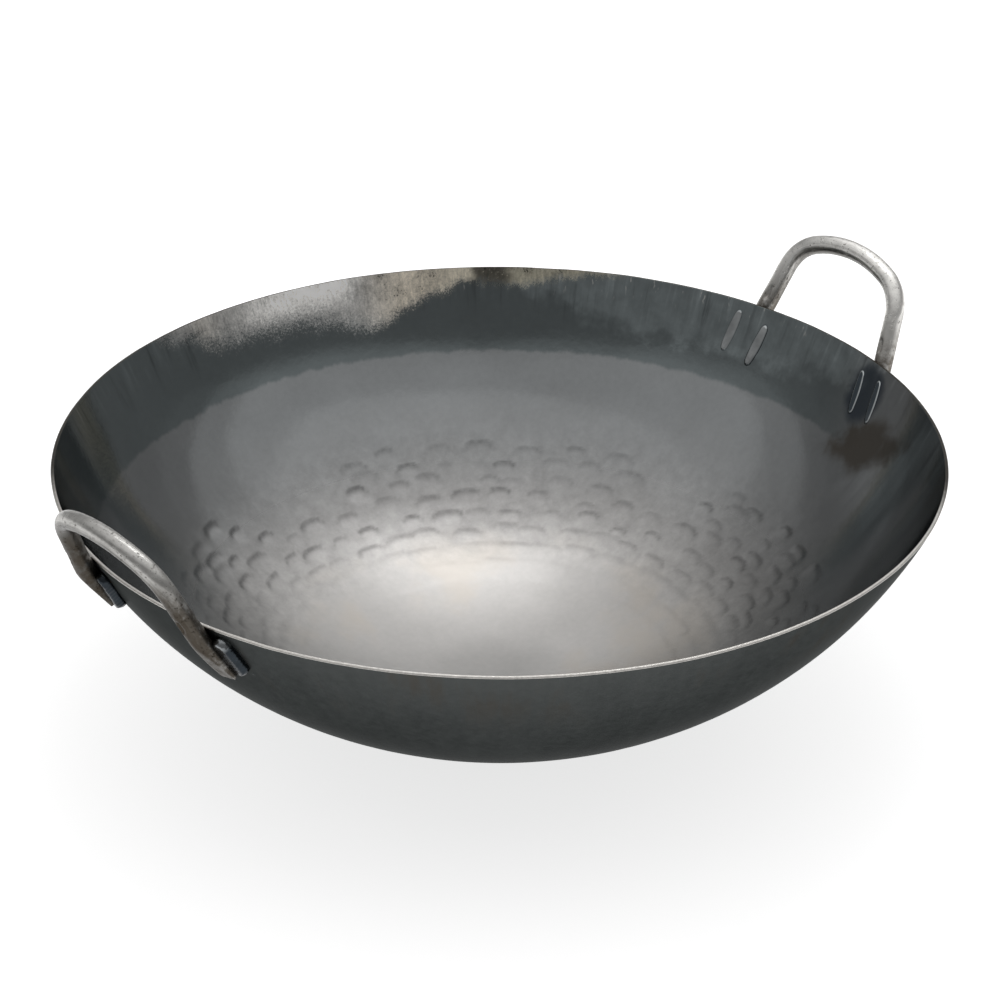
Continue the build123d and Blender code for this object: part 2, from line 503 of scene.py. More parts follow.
def run_points(start, end, step):
    """Points of the straight run from start to end, without its first one."""
    count = max(1, round((end - start).length / step))
    return [start.lerp(end, k / count) for k in range(1, count + 1)]


# Step between the points of a rod's path
path_step = 0.0012


def half_rod(bowl, sizes):
    """Points of the right handle's rod, from the end of its back leg to the top of its loop."""
    leg = LegFrame(bowl, sizes)
    leg_end = leg.place(leg.length / 2, 0, 0)
    bend = leg.place(-leg.length / 2, 0, 0)
    up_loop = Vector((cos(sizes.loop_tilt), 0, sin(sizes.loop_tilt)))

    def on_loop(across, up):
        return Vector((bend.x, 0, bend.z)) + Vector((0, across, 0)) + up_loop * up

    run = Vector((-sin(sizes.loop_taper), cos(sizes.loop_taper)))
    outwards = Vector((cos(sizes.loop_taper), sin(sizes.loop_taper)))
    arch_centre = Vector((0, sizes.loop_height - sizes.arch_radius))
    corner_start = Vector((bend.y, 0)) - outwards * sizes.corner_radius
    from_arch = corner_start - arch_centre
    offset = from_arch.dot(outwards)
    reach = sqrt((sizes.arch_radius - sizes.corner_radius) ** 2 - offset**2) - from_arch.dot(run)
    corner_centre = corner_start + run * reach
    to_shoulder = (corner_centre - arch_centre).normalized()
    leg_top = on_loop(*(corner_centre + outwards * sizes.corner_radius))
    shoulder = on_loop(*(corner_centre + to_shoulder * sizes.corner_radius))
    apex = on_loop(0, sizes.loop_height)
    up_leg = (leg_top - bend).normalized()
    cut = sizes.bend_radius * tan(up_leg.angle(-leg.down) / 2)

    points = [leg_end]
    points += run_points(leg_end, leg_end - leg.down * sizes.leg_break, sizes.leg_break / 3)
    points += run_points(points[-1], bend + leg.down * cut, path_step)
    points += arc_points(points[-1], -leg.down, bend + up_leg * cut, path_step)[0]
    points += run_points(points[-1], leg_top, path_step)
    more, way = arc_points(leg_top, up_leg, shoulder, path_step)
    points += more
    return points + arc_points(shoulder, way, apex, path_step)[0]


# Making a piece
def path_mesh(name, points, **attributes):
    """A mesh of points joined in a row, with named numbers or vectors on them."""
    edges = [(k, k + 1) for k in range(len(points) - 1)]
    mesh = bpy.data.meshes.new(name)
    mesh.from_pydata([tuple(p) for p in points], edges, [])
    for label, values in attributes.items():
        if isinstance(values[0], (int, float)):
            mesh.attributes.new(label, "FLOAT", "POINT").data.foreach_set("value", values)
        else:
            flat = [number for vector in values for number in vector]
            mesh.attributes.new(label, "FLOAT_VECTOR", "POINT").data.foreach_set("vector", flat)
    return mesh


def new_object(name, mesh):
    piece = bpy.data.objects.new(name, mesh)
    bpy.context.scene.collection.objects.link(piece)
    return piece


def new_tree(name, inputs):
    """A Geometry Nodes tree with a Geometry input and output and more named inputs."""
    tree = bpy.data.node_groups.new(name, "GeometryNodeTree")
    tree.interface.new_socket("Geometry", in_out="INPUT", socket_type="NodeSocketGeometry")
    for label, kind in inputs.items():
        tree.interface.new_socket(label, in_out="INPUT", socket_type="NodeSocket" + kind)
    tree.interface.new_socket("Geometry", in_out="OUTPUT", socket_type="NodeSocketGeometry")
    maker = Maker(tree)
    ins = maker.node("NodeGroupInput")
    given = {}
    for socket in ins.outputs:
        if socket.name:
            numeric = socket.type in ("VALUE", "INT")
            given[socket.name] = Number(maker, socket) if numeric else socket
    return tree, maker, given


def close_tree(maker, geometry, *finishes):
    """Ends a tree in smooth shading, Realize Instances and a Set Material for each material and its faces."""
    geometry = maker.node("GeometryNodeSetShadeSmooth", {"Geometry": geometry}).outputs[0]
    geometry = maker.node("GeometryNodeRealizeInstances", {"Geometry": geometry}).outputs[0]
    for material, faces in finishes:
        inputs = {"Geometry": geometry, "Material": material}
        if faces is not None:
            inputs["Selection"] = faces
        geometry = maker.node("GeometryNodeSetMaterial", inputs).outputs[0]
    end = maker.node("NodeGroupOutput")
    maker.put(end.inputs["Geometry"], geometry)


def grow(piece, tree, sizes, **values):
    """Runs a tree on a piece and keeps the result as its plain mesh. Inputs that have no value here are in sizes."""
    modifier = piece.modifiers.new("grow", "NODES")
    modifier.node_group = tree
    for socket in tree.interface.items_tree:
        name = socket.name.replace(" ", "_").lower()
        if socket.in_out == "INPUT" and name != "geometry":
            modifier[socket.identifier] = values[name] if name in values else getattr(sizes, name)
    depsgraph = bpy.context.evaluated_depsgraph_get()
    mesh = bpy.data.meshes.new_from_object(piece.evaluated_get(depsgraph), preserve_all_data_layers=True,
                                           depsgraph=depsgraph)
    mesh.name = piece.name
    piece.modifiers.clear()
    old = piece.data
    piece.data = mesh
    bpy.data.meshes.remove(old)
    if not mesh.polygons:
        raise RuntimeError(f"{piece.name} has no faces")


def finish_piece(piece, slot, *nodes):
    """Gives a piece its body and hides the solids that it stands for. The slot of its finish is not used."""
    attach(piece, "root")
    if nodes:
        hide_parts(*nodes)


# Trees
def wall_slope(maker, r, z, bowl):
    """Slope of the wall at a place, in radians."""
    return maker.math("ARCTAN2", r - bowl.wall_centre_r, bowl.wall_centre_z - z)


# Azimuth of the middle and half the width of each bare place in the marks, in degrees
bare_places = ((11.3, 6.7), (95.1, 13.0), (-62.0, 9.0), (-143.0, 12.0))
ids_per_row = 64
# How far a mark lies from its place: along the row as a share of the step between marks, and in metres across it
mark_shift, mark_wander = 0.27, 0.0022
# Smallest and largest size and strength of a mark, as shares of a plain one's
mark_sizes, mark_strengths = (0.62, 1.24), (0.35, 1.08)
# Radii between which the waves of the sheet set in
wave_radii = (0.035, 0.075)
# How far below its edge the rim bends, and how far it is from level and from round
rim_reach, rim_level, rim_wobble = 0.030, 0.0007, 0.0005
# How much the line wanders in which the marks end
field_uneven = 0.010


def hammered_bowl_tree(bowl):
    """Turns the section round the axis and hammers rows of marks into it."""
    tree, maker, given = new_tree("hammered_bowl", {
        "Divisions": "Int", "First Row": "Float", "Row Pitch": "Float", "Row Closing": "Float",
        "Even Rows": "Int", "Rows": "Int", "Marks per Row": "Int", "Mark Width": "Float", "Mark Length": "Float",
        "Mark Depth": "Float", "Field Edge": "Float", "Bare Depth": "Float", "Wave Height": "Float", "Seed": "Int",
        "Inside Steel": "Material", "Outside Steel": "Material", "Cut Steel": "Material"})
    section = given["Geometry"]
    size = maker.node("GeometryNodeAttributeDomainSize", {"Geometry": section})
    count = maker.number(size, "Point Count")
    grid = maker.node("GeometryNodeMeshGrid", {"Size X": 1.0, "Size Y": 1.0, "Vertices X": given["Divisions"] + 1,
                                               "Vertices Y": count}).outputs[0]
    position = maker.position()
    along, up, _ = maker.split(position)
    index = maker.math("ROUND", (up + 0.5) * (count - 1))
    turn = (along + 0.5) * tau

    def sampled(source, kind):
        found = maker.node("GeometryNodeSampleIndex", {"Geometry": section, "Index": index}, data_type=kind)
        maker.put(maker.open_socket(found.inputs, "Value"), source)
        return maker.open_socket(found.outputs, "Value")

    def turned(vector):
        return maker.node("ShaderNodeVectorRotate", {"Vector": vector, "Angle": turn},
                          rotation_type="Z_AXIS").outputs[0]

    outwards = maker.named("outwards", "FLOAT_VECTOR")
    shell = maker.stored(grid, "outwards", turned(sampled(outwards, "FLOAT_VECTOR")), "FLOAT_VECTOR")
    shell = maker.stored(shell, "inside", sampled(maker.named("inside"), "FLOAT"))
    shell = maker.stored(shell, "hammered", 0.0)
    shell = maker.stored(shell, "crescent", 0.0)
    shell = maker.shifted(shell, Position=turned(sampled(position, "FLOAT_VECTOR")))
    shell = maker.node("GeometryNodeMergeByDistance", {"Geometry": shell, "Distance": 0.000001}).outputs[0]

    # Each turn of the repeat zone hammers one row
    start = tree.nodes.new("GeometryNodeRepeatInput")
    stop = tree.nodes.new("GeometryNodeRepeatOutput")
    start.pair_with_output(stop)
    stop.repeat_items.new("FLOAT", "Row")
    maker.put(start.inputs["Iterations"], given["Rows"])
    maker.put(start.inputs["Geometry"], shell)
    row = Number(maker, start.outputs["Row"])
    x, y, z = maker.split(position)
    r = maker.distance(x, y)
    beyond = maker.most(row - given["Even Rows"], 0.0)
    row_radius = given["First Row"] + given["Row Pitch"] * row - given["Row Closing"] * beyond * beyond
    odd = maker.math("FLOORED_MODULO", row, 2.0)
    cell = maker.math("ARCTAN2", y, x) * given["Marks per Row"] / tau - odd * 0.5
    mark = maker.math("ROUND", cell)
    mark_id = maker.math("FLOORED_MODULO", mark, given["Marks per Row"]) + row * ids_per_row

    def chance(low, high, more):
        made = maker.node("FunctionNodeRandomValue", {"ID": mark_id, "Seed": given["Seed"] + more},
                          data_type="FLOAT")
        maker.put(maker.open_socket(made.inputs, "Min"), low)
        maker.put(maker.open_socket(made.inputs, "Max"), high)
        return maker.number(made, "Value")

    shift = chance(-mark_shift, mark_shift, 0)
    across = (cell - mark - shift) * tau * r / given["Marks per Row"]
    # The inner rows run into soft rings, and the outer ones stand apart
    ringed = 1 - maker.smooth(row, 1.5, 4.0)
    out = r - row_radius - chance(-mark_wander, mark_wander, 1) * (1 - ringed * 0.75)
    swell = chance(*mark_sizes, 2)
    u = out / (given["Mark Length"] * (swell * 0.5 + 0.5 + ringed * 0.25) * 0.5)
    v = across / (given["Mark Width"] * (swell + ringed * 0.9) * 0.5)
    reach = u * u + v * v * v * v
    lean = maker.least(maker.most(u, -1.0), 1.0) * 0.5 + 0.5
    stamp = maker.most(1 - reach * reach, 0.0) * lean * lean

    # The marks end in an uneven line with a few bare places
    mark_azimuth = (mark + shift + odd * 0.5) * tau / given["Marks per Row"]
    ring_x = maker.math("COSINE", mark_azimuth)
    ring_y = maker.math("SINE", mark_azimuth)
    uneven = maker.noise(maker.joined(ring_x, ring_y, 0.0), 2.6, 2.0) * field_uneven
    bare = 0.0
    for middle, half in bare_places:
        away = maker.distance(ring_x - cos(radians(middle)), ring_y - sin(radians(middle)))
        bare = (1 - maker.smooth(away, radians(half) * 0.75, radians(half) * 1.15)) + bare
    edge = given["Field Edge"] + uneven - maker.least(bare, 1.0) * given["Bare Depth"]
    strength = maker.smooth(edge - row_radius, -0.001, 0.005) * chance(*mark_strengths, 3)
    depth = stamp * strength * given["Mark Depth"] * (maker.smooth(row, 1.5, 7.0) * 0.80 + 0.20)
    deepest = maker.most(maker.named("hammered"), depth)
    # Painted shade along the steep outer edge of a mark, partly darker scale there
    brow = maker.smooth(reach, 0.10, 0.85) * (1 - maker.smooth(reach, 1.0, 1.3)) * maker.smooth(u, 0.0, 0.6)
    brow = brow * strength * maker.smooth(row, 0.5, 5.0)
    darkest = maker.most(maker.named("crescent"), brow)
    dented = maker.stored(start.outputs["Geometry"], "hammered", deepest)
    maker.put(stop.inputs["Geometry"], maker.stored(dented, "crescent", darkest))
    maker.put(stop.inputs["Row"], row + 1)
    shell = stop.outputs["Geometry"]

    # Hammer marks, slow waves of the sheet and a rim that isn't quite round or level
    inside = maker.named("inside")
    off_land = maker.smooth(r, *wave_radii)
    wave = maker.noise(position, 26.0, 1.0) * given["Wave Height"] * off_land
    ripple = maker.noise(position, 75.0, 1.0) * given["Wave Height"] * 0.12 * off_land
    dent = maker.named("hammered") * inside + wave + ripple
    near_rim = maker.smooth(z, bowl.rim_z - rim_reach, bowl.rim_z)
    azimuth_x = x / r
    azimuth_y = y / r
    level = maker.noise(maker.joined(azimuth_x, azimuth_y, 2.0), 5.0, 3.0) * rim_level
    wobble = maker.noise(maker.joined(azimuth_x, azimuth_y, 5.0), 3.0, 2.0) * rim_wobble
    lip = maker.scaled(maker.joined(azimuth_x * wobble, azimuth_y * wobble, level), near_rim)
    shell = maker.shifted(shell, Offset=maker.added(maker.scaled(outwards, dent), lip))
    inner_faces = maker.math("GREATER_THAN", inside, 0.74)
    outer_faces = maker.math("LESS_THAN", inside, 0.26)
    close_tree(maker, shell, (given["Cut Steel"], None), (given["Inside Steel"], inner_faces),
               (given["Outside Steel"], outer_faces))
    return tree


# Reach of the soft edge between a round side and a flattened one, of a rod and of a bead
flat_blend, bead_blend = 0.0011, 0.0007
# Half the width of the pinched groove, and the heights of a rod's wide and fine dents
groove_half, wide_dents, fine_dents = 0.0016, 0.00030, 0.00008
# How high a flattened bead is as a share of its radius, how much its ripples bow and how far they and it wander
bead_flat, ripple_bow, ripple_wander, bead_lumps = 0.66, 140, 0.0012, 0.0009


def bent_rod_tree():
    """Sweeps a rod along its path, flattens its legs and pinches a groove where they kink."""
    tree, maker, given = new_tree("bent_rod", {
        "Rod Radius": "Float", "Groove Depth": "Float", "Steel": "Material"})
    rod = maker.swept(given["Geometry"], given["Rod Radius"], corners=40)
    position = maker.position()
    axis, out, side = (maker.named(label, "FLOAT_VECTOR") for label in ("axis", "out", "side"))
    from_axis = maker.scaled(maker.vector_math("SUBTRACT", position, axis), maker.named("swell"))
    w = maker.dot(from_axis, out)
    t = maker.dot(from_axis, side)
    flattened = maker.math("SMOOTH_MIN", w, maker.named("limit"), flat_blend)
    widened = t * maker.named("widen")
    in_groove = 1 - maker.smooth(maker.math("ABSOLUTE", t), 0.0, groove_half)
    groove = maker.named("kink") * given["Groove Depth"] * in_groove
    dents = maker.noise(position, 95.0, 2.0) * wide_dents + maker.noise(position, 420.0, 2.0) * fine_dents
    press = flattened - w - groove * maker.math("SIGN", w)
    normal = maker.vector_math("NORMALIZE", from_axis)
    moved = maker.added(from_axis, maker.scaled(out, press))
    moved = maker.added(moved, maker.scaled(side, widened))
    moved = maker.added(moved, maker.scaled(normal, dents))
    rod = maker.shifted(rod, Position=maker.added(axis, moved))
    # The upward share of the normal, which the rod's material turns into painted shade underneath
    rod = maker.stored(rod, "facing_up", maker.split(normal)[2])
    close_tree(maker, rod, (given["Steel"], None))
    return tree


def weld_bead_tree(bowl):
    """Sweeps a bead along its path, ripples it and keeps its root inside the sheet."""
    tree, maker, given = new_tree("weld_bead", {
        "Bead Radius": "Float", "Ripple Pitch": "Float", "Ripple Height": "Float", "Root Depth": "Float",
        "Seed": "Int", "Weld Metal": "Material"})
    bead = maker.swept(given["Geometry"], given["Bead Radius"], corners=44)
    position = maker.position()
    axis, out, side = (maker.named(label, "FLOAT_VECTOR") for label in ("axis", "out", "side"))
    from_axis = maker.vector_math("SUBTRACT", position, axis)
    outwards = maker.vector_math("NORMALIZE", from_axis)
    t = maker.dot(from_axis, side)
    wander = maker.noise(maker.added(position, maker.joined(given["Seed"] * 0.37, 0.0, 0.0)), 130.0, 2.0)
    # Ripples are bows that trail behind the middle of the bead
    phase = (maker.named("along") + t * t * ripple_bow + wander * ripple_wander) * tau / given["Ripple Pitch"]
    crest = maker.math("SINE", phase)
    ripple = (crest * 0.6 + crest * crest * 0.4) * given["Ripple Height"]
    lumps = wander * bead_lumps
    swell = maker.named("swell")
    radius = given["Bead Radius"] * swell + (ripple + lumps) * swell
    rise = maker.dot(outwards, out) * radius
    press = maker.math("SMOOTH_MIN", rise, given["Bead Radius"] * bead_flat + ripple + lumps, bead_blend) - rise
    place = maker.added(axis, maker.added(maker.scaled(outwards, radius), maker.scaled(out, press)))
    x, y, z = maker.split(place)
    r = maker.distance(x, y)
    slope = wall_slope(maker, r, z, bowl)
    distance = maker.distance(r - bowl.wall_centre_r, z - bowl.wall_centre_z)
    lift = maker.most(bowl.wall_radius - given["Root Depth"] - distance, 0.0)
    out_r = maker.math("SINE", slope) * lift / r
    raised = maker.joined(x * out_r, y * out_r, 0 - maker.math("COSINE", slope) * lift)
    bead = maker.shifted(bead, Position=maker.added(place, raised))
    close_tree(maker, bead, (given["Weld Metal"], None))
    return tree


# How much longer and wider than a mark its patch of grid is, and its points along and across
patch_long, patch_wide = 1.3, 1.9
patch_points = (61, 25)


def pressed_mark_tree(bowl):
    """Lays a long low ridge on the inner wall at each point, bent to the wall."""
    tree, maker, given = new_tree("pressed_marks", {
        "Mark Length": "Float", "Mark Width": "Float", "Mark Height": "Float", "Steel": "Material"})
    patch = maker.node("GeometryNodeMeshGrid", {"Size X": 1.0, "Size Y": 1.0, "Vertices X": patch_points[0],
                                                "Vertices Y": patch_points[1]}).outputs[0]
    position = maker.position()
    u, v, _ = maker.split(position)
    # A ridge like a spindle that is flat on top, falls to the wall round its edge and ends a little under it
    reach_u = maker.most(maker.math("ABSOLUTE", u) * given["Mark Length"] * patch_long
                         - (given["Mark Length"] - given["Mark Width"]) * 0.5, 0.0)
    reach_v = v * given["Mark Width"] * patch_wide * (1 + u * u * 3.2)
    reach = maker.distance(reach_u, reach_v) / (given["Mark Width"] * 0.5)
    height = 1 - maker.smooth(reach, 0.60, 1.25)
    moat = maker.window(reach, 1.15, 1.5, 0.2) * 0.10
    level = (height - moat) * given["Mark Height"] - maker.smooth(reach, 1.45, 1.75) * 0.00006
    patch = maker.stored(maker.stored(patch, "level", level), "ridge_reach", reach)
    sized = maker.joined(u * given["Mark Length"] * patch_long, v * given["Mark Width"] * patch_wide, 0.0)
    patch = maker.shifted(patch, Position=sized)
    inwards, down = (maker.named(label, "FLOAT_VECTOR") for label in ("inwards", "down"))
    turn = maker.node("FunctionNodeAxesToRotation", {"Primary Axis": inwards, "Secondary Axis": down},
                      primary_axis="Z", secondary_axis="X")
    ridges = maker.node("GeometryNodeInstanceOnPoints", {"Points": given["Geometry"], "Instance": patch,
                                                         "Rotation": turn.outputs[0]}).outputs[0]
    ridges = maker.node("GeometryNodeRealizeInstances", {"Geometry": ridges}).outputs[0]
    x, y, z = maker.split(position)
    r = maker.distance(x, y)
    slope = wall_slope(maker, r, z, bowl)
    radius = bowl.wall_radius - bowl.sheet - maker.named("level")
    new_r = (maker.math("SINE", slope) * radius + bowl.wall_centre_r) / r
    bent = maker.joined(x * new_r, y * new_r, bowl.wall_centre_z - maker.math("COSINE", slope) * radius)
    close_tree(maker, maker.shifted(ridges, Position=bent), (given["Steel"], None))
    return tree


def weld_spatter_tree():
    """Scatters small flattened drops on a patch of wall."""
    tree, maker, given = new_tree("weld_spatter", {
        "Drop Density": "Float", "Smallest Drop": "Float", "Largest Drop": "Float", "Seed": "Int",
        "Weld Metal": "Material"})
    scattered = maker.node("GeometryNodeDistributePointsOnFaces", {
        "Mesh": given["Geometry"], "Density": given["Drop Density"], "Seed": given["Seed"]})
    drop = maker.node("GeometryNodeMeshIcoSphere", {"Radius": 1.0, "Subdivisions": 3}).outputs[0]
    made = maker.node("FunctionNodeRandomValue", {"Seed": given["Seed"] + 1}, data_type="FLOAT")
    chance = maker.number(made, "Value")
    scale = given["Smallest Drop"] + (given["Largest Drop"] - given["Smallest Drop"]) * chance * chance * chance
    drops = maker.node("GeometryNodeInstanceOnPoints", {
        "Points": maker.open_socket(scattered.outputs, "Points"), "Instance": drop,
        "Rotation": maker.open_socket(scattered.outputs, "Rotation"),
        "Scale": maker.joined(scale, scale, scale * 0.6)}).outputs[0]
    drops = maker.node("GeometryNodeRealizeInstances", {"Geometry": drops}).outputs[0]
    lumpy = maker.noise(maker.position(), 900.0, 1.0) * 0.00025
    normal = maker.node("GeometryNodeInputNormal").outputs[0]
    close_tree(maker, maker.shifted(drops, Offset=maker.scaled(normal, lumpy)), (given["Weld Metal"], None))
    return tree


# Materials
pale_specks = (0.70, 0.69, 0.66)
warm_grey = (0.430, 0.395, 0.352)
# Painted shade of the dark band under the far rim
far_band_shade = (0.62, 0.675, 0.68)
dark_blue = (0.020, 0.032, 0.048)
ridge_outline = (0.012, 0.016, 0.020)
left_ridge = (0.44, 0.455, 0.46)
right_ridge = (0.10, 0.125, 0.145)
right_ridge_edge = (0.60, 0.63, 0.64)
outside_rust = (0.085, 0.070, 0.056)
dull_edge = (0.052, 0.046, 0.038)
# Painted shade on the underside of the rods
rod_underside_shade = (0.150, 0.144, 0.134)
rod_pits = (0.085, 0.078, 0.066)
# Pale flecks and the painted highlight of the weld beads
weld_flecks_and_highlight = (0.42, 0.44, 0.45)
weld_orange = (0.42, 0.20, 0.06)


def wall_places(maker, bowl):
    """Object coordinates, radius as a share of the rim's, azimuth in degrees and drop below the rim in mm."""
    point = maker.node("ShaderNodeTexCoord").outputs["Object"]
    x, y, z = maker.split(point)
    r = maker.distance(x, y)
    azimuth = maker.math("ARCTAN2", y, x) * (1 / degree)
    drop = (bowl.rim_angle - wall_slope(maker, r, z, bowl)) * (bowl.wall_radius / mm)
    return point, r / bowl.rim_radius, azimuth, drop


# Azimuths in degrees where the clouds and the patch at the far rim begin, and how far round they reach
clouds_start, clouds_span = -15, 70.0
patch_start, patch_span = 30, 75.0
# How far below the rim they reach at most, in mm
clouds_drop, patch_drop = 27, 25
# Share of that reach at shares of the span
clouds_line = (
    (0.0, 0.0), (0.12, 0.60), (0.35, 0.95), (0.60, 1.0), (0.72, 0.85), (0.82, 0.50), (0.92, 0.18), (1.0, 0.0))
patch_line = (
    (0.0, 0.0), (0.10, 0.10), (0.15, 0.20), (0.27, 0.32), (0.32, 0.22), (0.36, 0.38), (0.435, 0.66), (0.51, 0.92),
    (0.56, 0.82), (0.64, 0.66), (0.74, 0.62), (0.84, 0.54), (0.90, 0.30), (0.95, 0.12), (1.0, 0.0))
patch_softness = ((0.0, 0.35), (0.45, 0.5), (0.6, 1.0), (1.0, 0.6))
# Middle and half size of the halo at the front leg, in mm along the rim and below it
halo_middle, halo_half = (-42.0, 15.5), (13.0, 15.0)
# Azimuth in degrees of the painted highlight on the cut edge, towards the camera
highlight_azimuth = -132.0


def far_wall(maker, base, r, azimuth, drop, streak, fine_streak, blot):
    """The far wall: painted shade in a darker band above a wavy line under the rim, and thinner scale in clouds to
    the right of the patch.
    """
    # Painted shade: a dark reflection painted as a band under the far rim
    above = maker.smooth(r + streak * 0.012 + blot * 0.012 - maker.smooth(azimuth, 108.0, 140.0) * 0.01, 0.885, 0.892)
    above = above * maker.window(azimuth, -12.0, 168.0, 8.0)
    base = maker.mixed(above, base, maker.vector_math("MULTIPLY", base, far_band_shade))
    thin_reach = maker.curve((azimuth - clouds_start) / clouds_span, clouds_line)
    thin = maker.smooth(thin_reach * clouds_drop + blot * 26 + streak * 6 - drop, -6.0, 7.0)
    thin = thin * maker.smooth(thin_reach, 0.02, 0.1)
    base = maker.scaled(base, 1 + thin * (0.62 + fine_streak * 0.4 + blot * 1.3))
    drip = maker.noise(maker.joined(azimuth * 1.5, drop * 0.13, 3.0), 1.0, 2.0, 0.6)
    glint = maker.smooth(drip + streak * 0.3, 0.13, 0.20) * (1 - maker.smooth(drop + blot * 12, 5.0, 12.0))
    glint = glint * maker.window(azimuth, 2.0, 58.0, 5.0)
    base = maker.mixed(glint * 0.6, base, pale_specks)
    return base


def heat_patch(maker, point, azimuth, drop, fine_streak, blot, colours):
    """The brushed and heated patch under the far rim: its share, which ends in a speckled line, and its colour."""
    along_rim = (azimuth - patch_start) / patch_span
    edge_share = maker.curve(along_rim, patch_line)
    speckle = maker.noise(point, 1150.0, 2.0, 0.8)
    softness = maker.curve(along_rim, patch_softness)
    above_line = edge_share * patch_drop + blot * 9 + fine_streak * 3 - drop
    patch = maker.smooth(above_line / (softness * 9.0) + speckle * 2.2, -0.75, 0.95)
    patch = patch * maker.smooth(edge_share, 0.01, 0.06)
    pale = maker.window(azimuth, 67.0, 96.0, 5.0)

    def heated(*shares):
        return tuple(a * b for a, b in zip(colours.heat, shares))

    olive, tan = heated(0.42, 0.40, 0.33), heated(0.70, 0.65, 0.57)
    warm = maker.mixed(maker.smooth(azimuth, 46.0, 66.0), olive, tan)
    brush = maker.noise(maker.joined(azimuth * 2.6, drop * 0.30, 11.0), 1.0, 3.0, 0.7)
    core = maker.window(azimuth + blot * 10, 71.0, 87.0, 4.0)
    core = core * (1 - maker.smooth(drop + blot * 34 + fine_streak * 10, 5.0, 19.0))
    warm = maker.mixed(maker.smooth(azimuth, 92.0, 99.0), warm, heated(0.36, 0.36, 0.36))
    warm = maker.mixed(pale, warm, heated(0.46, 0.46, 0.46))
    warm = maker.mixed(core, warm, tuple(colours.heat))
    dark_spots = maker.smooth(0 - speckle * 0.7 - blot, 0.12, 0.24) * maker.smooth(0 - pale, -0.8, -0.2)
    blotch = maker.window(azimuth + blot * 6, 48.5, 54.5, 1.5) * (1 - maker.smooth(drop + blot * 14, 10.0, 15.0))
    warm = maker.scaled(warm, 1.05 + fine_streak * 0.7 + blot * 1.5 + brush * 1.1 + speckle * 0.9
                        - dark_spots * 0.7)
    warm = maker.scaled(warm, 1 - blotch * (0.78 - maker.smooth(speckle, 0.12, 0.25) * 0.6))
    return patch, warm


def leg_stains(maker, base, bowl, colours, r, azimuth, drop, mottle, streak, blot):
    """Dark blue halo round the marks of the front leg, and brown stains beyond them."""
    across = maker.math("SINE", azimuth * degree) * (0.97 * bowl.rim_radius / mm)
    halo_v = (across - halo_middle[0]) / halo_half[0]
    halo_s = (drop - halo_middle[1]) / halo_half[1]
    halo = 1 - maker.smooth(halo_v * halo_v + halo_s * halo_s + blot * 0.9, 0.35, 1.25)
    halo = halo * maker.window(azimuth, -30.0, 0.0, 1.0)
    base = maker.mixed(halo * 0.75, base, dark_blue)
    slanted = azimuth - (drop - 28) * 0.25
    # Painted light: a lighter strip near the rim beside the front leg
    lit = 1 - maker.smooth(slanted, -27.0, -23.5)
    base = maker.scaled(base, 1 + lit * maker.smooth(r, 0.80, 0.88) * (0.36 + streak * 1.2)
                        * maker.smooth(azimuth, -75.0, -55.0))
    stains = maker.window(slanted + blot * 9, -25.5, -15.5, 2.0)
    stains = stains * maker.window(drop + blot * 16, 20.0, 47.0, 5.0)
    stains = stains * maker.smooth(mottle + streak, -0.45, -0.10)
    base = maker.mixed(stains * 0.75, base, tuple(colours.stain))
    return base, stains


def ridge_paint(maker, base, azimuth, blot):
    """Dark outlines round the pressed marks, which are pale on the left and bright along one edge on the right."""
    reached = maker.painted("ridge_reach")
    left_pair = maker.smooth(azimuth, -5.0, 0.0)
    outline = maker.window(reached, 1.02, 1.35, 0.10)
    base = maker.mixed(outline * 0.85, base, ridge_outline)
    top = 1 - maker.smooth(reached, 0.75, 1.05)
    base = maker.mixed(top * left_pair * 0.9, base, maker.scaled(maker.plain(left_ridge), 1 + blot * 1.6))
    base = maker.mixed(top * (1 - left_pair) * 0.6, base, right_ridge)
    lip = maker.window(reached, 0.64, 0.94, 0.08) * (1 - left_pair)
    base = maker.mixed(lip * 0.9, base, right_ridge_edge)
    return base


